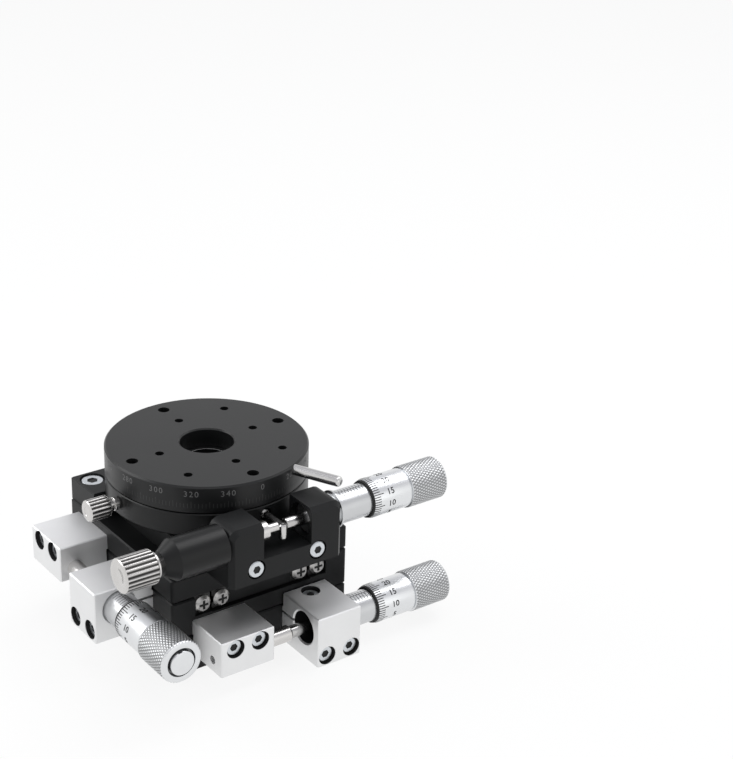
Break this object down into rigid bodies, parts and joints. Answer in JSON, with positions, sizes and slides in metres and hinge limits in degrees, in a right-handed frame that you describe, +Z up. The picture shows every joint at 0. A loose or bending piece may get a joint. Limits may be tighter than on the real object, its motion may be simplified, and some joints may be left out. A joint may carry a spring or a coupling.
{
  "type": "three-axis manual positioning stage",
  "caption": "Micrometer-driven X-Y crossed-roller stage with a rotary table on top, with a large centre bore, fine rotation drive and slide locks.",
  "frame": {"origin": "centre of the base plate's underside, below the rotary table's axis", "axes": "+Z up along the table's axis; the X slide runs along X and the Y slide along Y; the X and turn micrometers stand on the -Y face and the Y micrometer on the -X face"},
  "size_m": [0.1081, 0.0935, 0.0552],
  "materials": {
    "black_anodised": "satin",
    "silver_anodised": "satin",
    "satin_chrome": "satin",
    "bright_chrome": "polished",
    "hardened_steel": "ground",
    "zinc_steel": "zinc plated",
    "brass": "plain",
    "spring_steel": "plain"
  },
  "bodies": {
    "base": {"base_plate": "black_anodised", "x_fixed_rails": "hardened_steel", "base_pan_screws": "zinc_steel", "x_head_block": "silver_anodised", "base_socket_screws": "zinc_steel", "x_sleeve": "satin_chrome", "x_return_spring": "spring_steel"},
    "x_cages": {"x_roller_cages": "brass", "x_rollers": "hardened_steel"},
    "x_carriage": {"middle_plate": "black_anodised", "x_moving_rails": "hardened_steel", "y_fixed_rails": "hardened_steel", "middle_pan_screws": "zinc_steel", "x_anvil_block": "silver_anodised", "x_anvil_pin": "bright_chrome", "y_head_block": "silver_anodised", "middle_socket_screws": "zinc_steel", "y_sleeve": "satin_chrome", "x_lock_plate": "silver_anodised", "y_return_spring": "spring_steel"},
    "x_spindle": {"x_spindle": "hardened_steel"},
    "x_thimble": {"x_thimble": "satin_chrome"},
    "x_lock_washer": {"x_lock_washer": "bright_chrome"},
    "x_lock_screw": {"x_lock_screw": "bright_chrome"},
    "y_cages": {"y_roller_cages": "brass", "y_rollers": "hardened_steel"},
    "y_carriage": {"top_plate": "black_anodised", "y_moving_rails": "hardened_steel", "top_pan_screws": "zinc_steel", "y_anvil_block": "silver_anodised", "y_anvil_pin": "bright_chrome", "top_socket_screws": "zinc_steel", "y_lock_plate": "silver_anodised", "rotary_base": "black_anodised", "rotary_base_screws": "zinc_steel", "thrust_washer": "hardened_steel", "ring_collar": "black_anodised", "drive_bracket": "black_anodised", "turn_sleeve": "satin_chrome", "plunger_barrel": "black_anodised", "plunger_spring": "spring_steel"},
    "y_spindle": {"y_spindle": "hardened_steel"},
    "y_thimble": {"y_thimble": "satin_chrome"},
    "y_lock_washer": {"y_lock_washer": "bright_chrome"},
    "y_lock_screw": {"y_lock_screw": "bright_chrome"},
    "fine_ring": {"fine_ring": "black_anodised", "tangent_arm": "hardened_steel"},
    "ball_race": {"ball_cage": "brass", "bearing_balls": "hardened_steel"},
    "dial": {"dial": "black_anodised", "dial_handle": "bright_chrome", "dial_nut": "black_anodised"},
    "turn_spindle": {"turn_spindle": "hardened_steel"},
    "turn_thimble": {"turn_thimble": "satin_chrome"},
    "plunger_pin": {"plunger_pin": "bright_chrome"},
    "plunger_seat": {"plunger_seat": "hardened_steel"},
    "plunger_knob": {"plunger_knob": "bright_chrome"},
    "clamp_pad": {"clamp_pad": "brass"},
    "clamp_knob": {"clamp_knob": "bright_chrome"}
  },
  "joints": [
    {"name": "x_slide", "type": "slide", "parent": "base", "child": "x_carriage", "axis": [1, 0, 0], "range_m": [-0.0065, 0.0065], "deforming": ["x_return_spring"]},
    {"name": "x_cage_slide", "type": "slide", "parent": "base", "child": "x_cages", "axis": [1, 0, 0], "range_m": [-0.00325, 0.00325]},
    {"name": "x_spindle_slide", "type": "slide", "parent": "base", "child": "x_spindle", "axis": [1, 0, 0], "range_m": [-0.0065, 0.0065]},
    {"name": "x_thimble_turn", "type": "hinge", "parent": "x_spindle", "child": "x_thimble", "pos_m": [0.0215, -0.0408, 0.0097], "axis": [1, 0, 0], "range_deg": [-4700, 4700]},
    {"name": "x_lock_slide", "type": "slide", "parent": "base", "child": "x_lock_washer", "axis": [0, 1, 0], "range_m": [0, 0.0005]},
    {"name": "x_lock_turn", "type": "hinge", "parent": "x_lock_washer", "child": "x_lock_screw", "pos_m": [0, 0.034, 0.0058], "axis": [0, 1, 0], "range_deg": [-4, 364]},
    {"name": "y_slide", "type": "slide", "parent": "x_carriage", "child": "y_carriage", "axis": [0, 1, 0], "range_m": [-0.0065, 0.0065], "deforming": ["y_return_spring"]},
    {"name": "y_cage_slide", "type": "slide", "parent": "x_carriage", "child": "y_cages", "axis": [0, 1, 0], "range_m": [-0.00325, 0.00325]},
    {"name": "y_spindle_slide", "type": "slide", "parent": "x_carriage", "child": "y_spindle", "axis": [0, 1, 0], "range_m": [-0.0065, 0.0065]},
    {"name": "y_thimble_turn", "type": "hinge", "parent": "y_spindle", "child": "y_thimble", "pos_m": [-0.0408, -0.0188, 0.0218], "axis": [0, 1, 0], "range_deg": [-4700, 4700]},
    {"name": "y_lock_slide", "type": "slide", "parent": "x_carriage", "child": "y_lock_washer", "axis": [1, 0, 0], "range_m": [0, 0.0005]},
    {"name": "y_lock_turn", "type": "hinge", "parent": "y_lock_washer", "child": "y_lock_screw", "pos_m": [0.034, 0, 0.0179], "axis": [1, 0, 0], "range_deg": [-4, 364]},
    {"name": "ring_turn", "type": "hinge", "parent": "y_carriage", "child": "fine_ring", "pos_m": [0, 0, 0.043], "axis": [0, 0, 1], "range_deg": [-5, 5], "deforming": ["plunger_spring"]},
    {"name": "dial_turn", "type": "hinge", "parent": "fine_ring", "child": "dial", "pos_m": [0, 0, 0.05], "axis": [0, 0, 1], "continuous": true},
    {"name": "ball_race_turn", "type": "hinge", "parent": "fine_ring", "child": "ball_race", "pos_m": [0, 0, 0.04675], "axis": [0, 0, 1], "continuous": true},
    {"name": "turn_spindle_slide", "type": "slide", "parent": "y_carriage", "child": "turn_spindle", "axis": [1, 0, 0], "range_m": [-0.0034, 0.0034]},
    {"name": "turn_thimble_turn", "type": "hinge", "parent": "turn_spindle", "child": "turn_thimble", "pos_m": [0.0188, -0.0374, 0.0436], "axis": [1, 0, 0], "range_deg": [-2450, 2450]},
    {"name": "plunger_pin_slide", "type": "slide", "parent": "y_carriage", "child": "plunger_pin", "axis": [1, 0, 0], "range_m": [-0.0034, 0.0034]},
    {"name": "plunger_seat_slide", "type": "slide", "parent": "y_carriage", "child": "plunger_seat", "axis": [-1, 0, 0], "range_m": [0, 0.001]},
    {"name": "plunger_knob_turn", "type": "hinge", "parent": "plunger_seat", "child": "plunger_knob", "pos_m": [-0.045, -0.0374, 0.0436], "axis": [-1, 0, 0], "range_deg": [-4, 724]},
    {"name": "clamp_pad_slide", "type": "slide", "parent": "fine_ring", "child": "clamp_pad", "axis": [-1, 0, 0], "range_m": [0, 0.0005]},
    {"name": "clamp_knob_turn", "type": "hinge", "parent": "clamp_pad", "child": "clamp_knob", "pos_m": [-0.036, 0, 0.0432], "axis": [-1, 0, 0], "range_deg": [-4, 364]}
  ],
  "couplings": [
    {"joint": "x_cage_slide", "follows": "x_slide", "ratio": 0.5},
    {"joint": "x_spindle_slide", "follows": "x_slide", "ratio": 1},
    {"joint": "x_thimble_turn", "follows": "x_slide", "rad_per_m": 12566},
    {"joint": "y_cage_slide", "follows": "y_slide", "ratio": 0.5},
    {"joint": "y_spindle_slide", "follows": "y_slide", "ratio": 1},
    {"joint": "y_thimble_turn", "follows": "y_slide", "rad_per_m": 12566},
    {"joint": "turn_spindle_slide", "follows": "ring_turn", "m_per_rad": 0.0386},
    {"joint": "turn_thimble_turn", "follows": "ring_turn", "ratio": 485.06},
    {"joint": "plunger_pin_slide", "follows": "ring_turn", "m_per_rad": 0.0386},
    {"joint": "ball_race_turn", "follows": "dial_turn", "ratio": 0.5},
    {"joint": "x_lock_turn", "follows": "x_lock_slide", "rad_per_m": 12566},
    {"joint": "y_lock_turn", "follows": "y_lock_slide", "rad_per_m": 12566},
    {"joint": "clamp_knob_turn", "follows": "clamp_pad_slide", "rad_per_m": 12566},
    {"joint": "plunger_knob_turn", "follows": "plunger_seat_slide", "rad_per_m": 12566}
  ]
}
